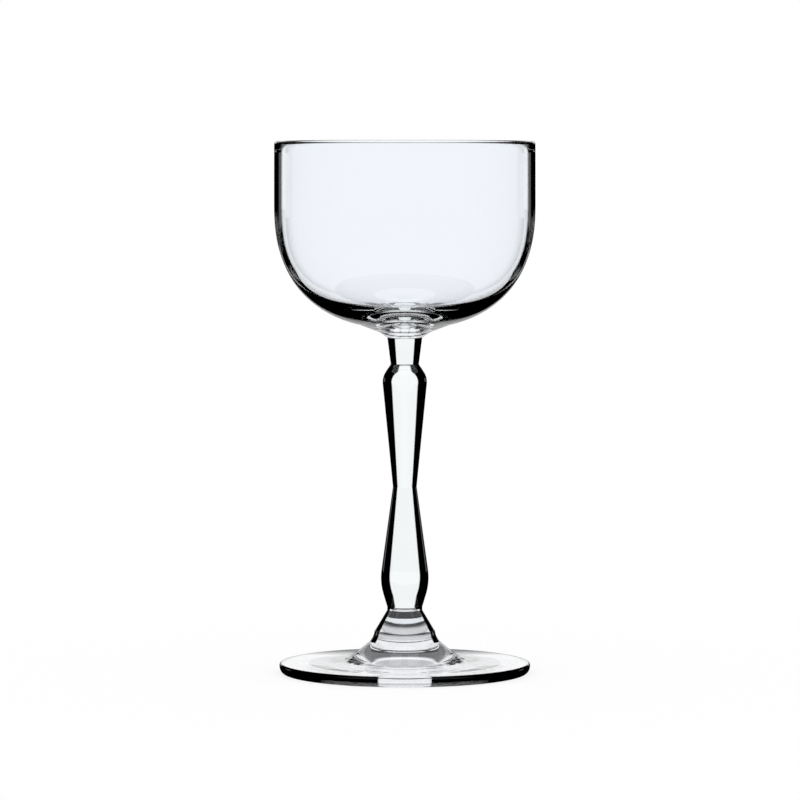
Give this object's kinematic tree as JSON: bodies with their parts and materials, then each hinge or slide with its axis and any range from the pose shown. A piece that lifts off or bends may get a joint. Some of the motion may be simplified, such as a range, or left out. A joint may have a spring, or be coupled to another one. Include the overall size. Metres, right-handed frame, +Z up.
{
  "type": "nick and nora glass",
  "caption": "Small stemmed cocktail glass with a deep rounded bowl, a round baluster stem and a flat disc foot with a stepped collar.",
  "frame": {"origin": "middle of the foot's underside, on the surface that the glass stands on", "axes": "+Z up along the axis of the glass; +X and +Y are any two directions across it, because the glass is round"},
  "size_m": [0.0734, 0.0734, 0.15],
  "materials": {
    "bowl_glass": "fire-polished clear soda-lime glass",
    "stem_glass": "fire-polished clear soda-lime glass",
    "foot_glass": "fire-polished clear soda-lime glass"
  },
  "bodies": {
    "root": {"bowl": "bowl_glass", "stem": "stem_glass", "foot": "foot_glass"}
  },
  "joints": []
}
